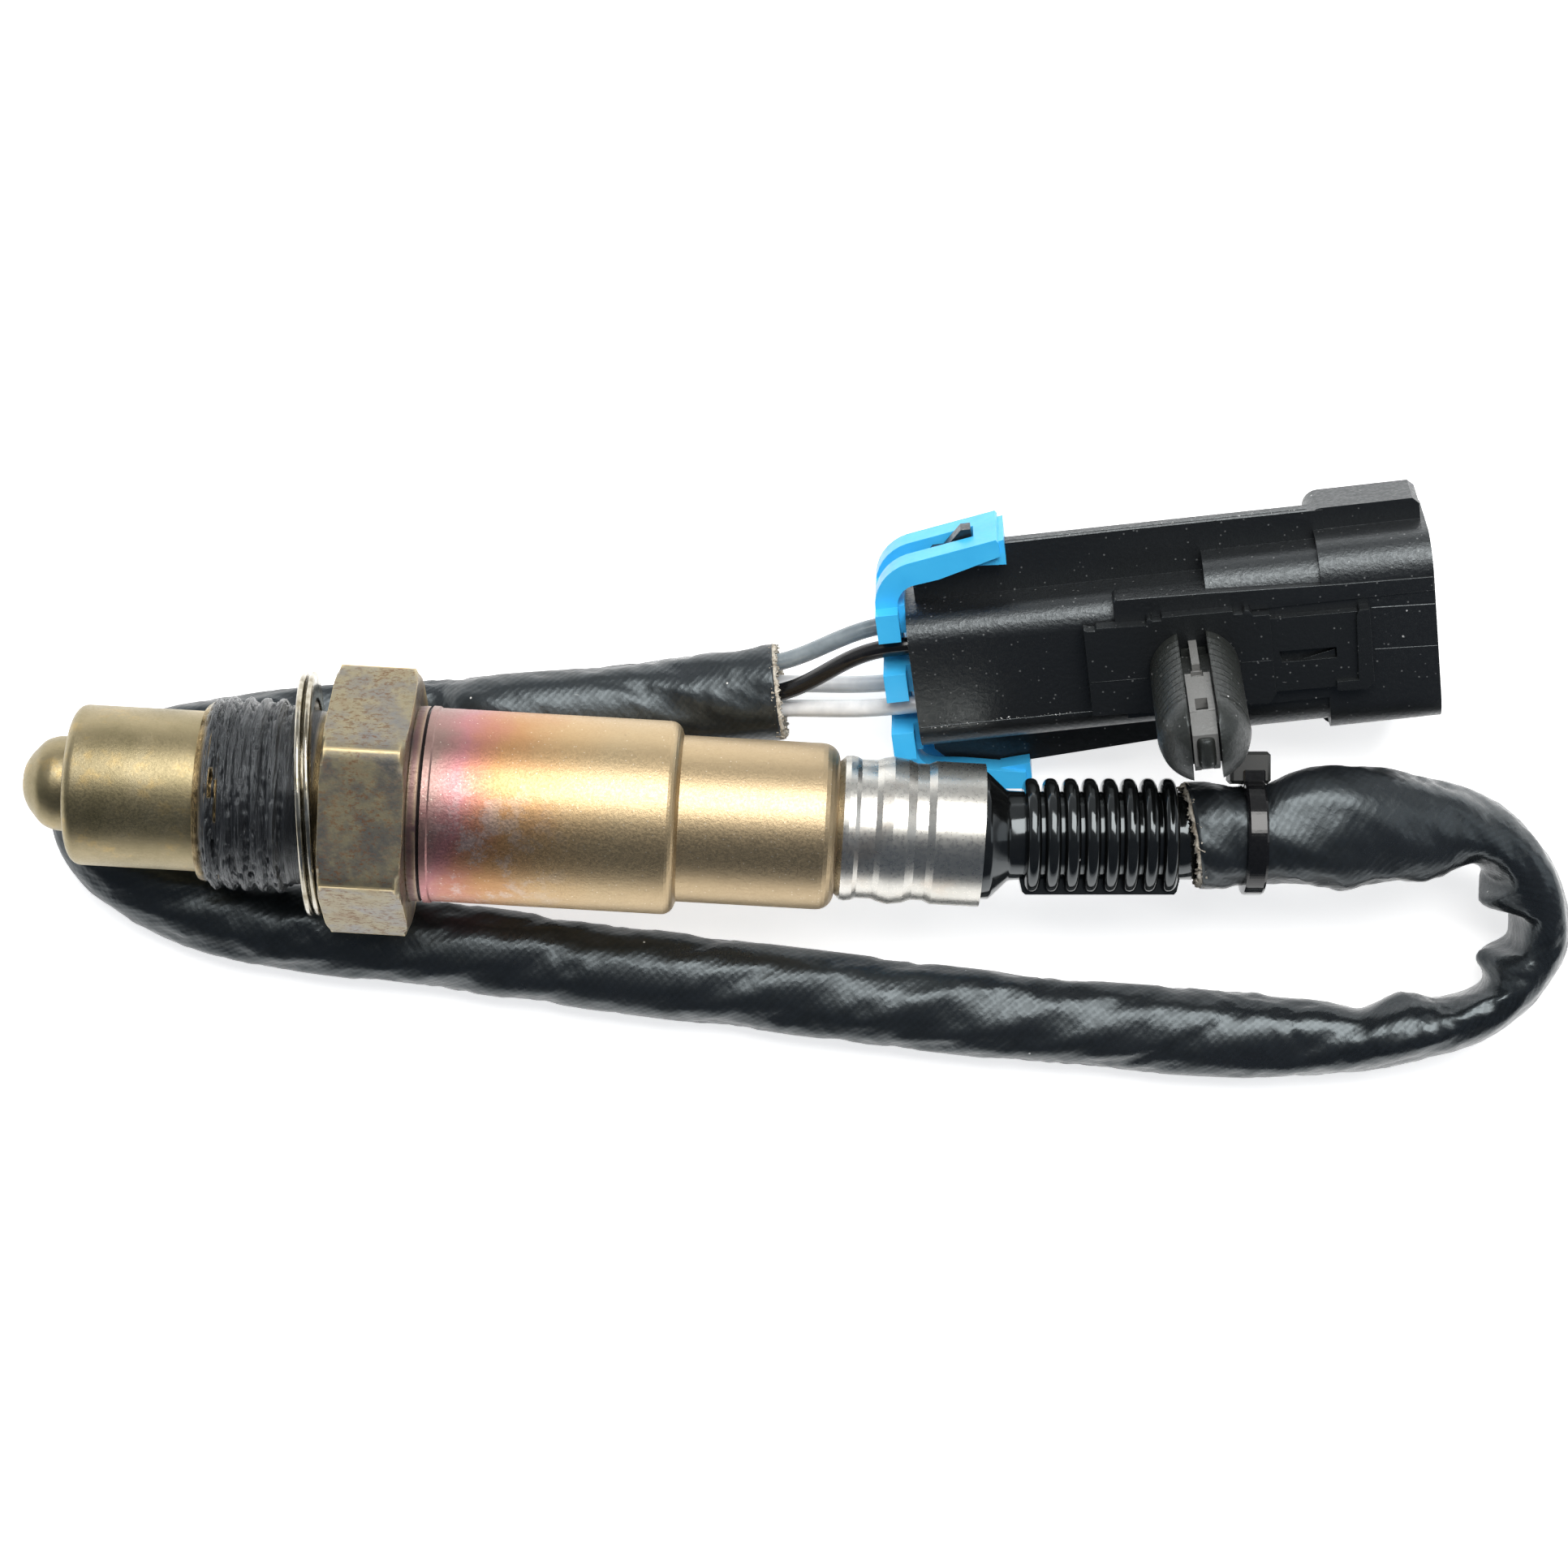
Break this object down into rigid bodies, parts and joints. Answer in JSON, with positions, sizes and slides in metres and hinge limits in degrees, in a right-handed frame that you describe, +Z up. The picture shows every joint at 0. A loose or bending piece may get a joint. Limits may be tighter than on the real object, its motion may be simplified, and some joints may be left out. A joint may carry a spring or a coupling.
{
  "type": "oxygen sensor",
  "caption": "Heated exhaust-gas oxygen sensor with threaded hex body, bellows boot, braided cable bent in a loop, and a wired plug with latch and push-in clip.",
  "frame": {"origin": "on the sensor's axis in the plane of the hexagon's seat face, which the gasket seals against", "axes": "+X along the sensor from its tip to its tail, +Z up from the surface that the part lies on, +Y to the side where the connector lies"},
  "size_m": [0.1451, 0.057, 0.0337],
  "materials": {
    "tube_steel": "satin, warm heat tint",
    "shell_steel": "tarnished, threads greased",
    "gasket_nickel": "bright nickel",
    "ceramic": "fired ceramic, matt",
    "talc": "pressed powder",
    "contact_metal": "tinned",
    "sleeve_steel": "satin, gold and violet heat tint",
    "crimp_steel": "bright satin",
    "grommet_white": "smooth",
    "boot_rubber": "glossy",
    "braid_black": "varnished braid, semi-gloss",
    "tie_black": "glossy",
    "wire_black": "glossy",
    "wire_grey": "glossy",
    "wire_white": "glossy",
    "housing_black": "satin, fine moulded grain",
    "lock_blue": "semi-gloss",
    "clip_black": "satin",
    "seal_red": "silicone rubber"
  },
  "bodies": {
    "root": {"inner_protection_tube": "tube_steel", "outer_protection_tube": "tube_steel", "sensor_shell": "shell_steel", "gasket_ring": "gasket_nickel", "sensing_element": "ceramic", "lower_insulator": "ceramic", "talc_ring": "talc", "upper_insulator": "ceramic", "contact_holder": "ceramic", "contact_spring_1": "contact_metal", "contact_spring_2": "contact_metal", "contact_spring_3": "contact_metal", "contact_spring_4": "contact_metal", "protective_sleeve": "sleeve_steel", "crimp_sleeve": "crimp_steel", "grommet": "grommet_white", "rubber_boot": "boot_rubber", "braided_sleeve": "braid_black", "cable_tie": "tie_black", "wire_black": "wire_black", "wire_grey": "wire_grey", "wire_white_a": "wire_white", "wire_white_b": "wire_white", "connector_housing": "housing_black", "terminal_lock": "lock_blue", "mounting_clip": "clip_black", "terminal_1": "contact_metal", "terminal_2": "contact_metal", "terminal_3": "contact_metal", "terminal_4": "contact_metal", "wire_seal_1": "seal_red", "wire_seal_2": "seal_red", "wire_seal_3": "seal_red", "wire_seal_4": "seal_red"}
  },
  "joints": []
}
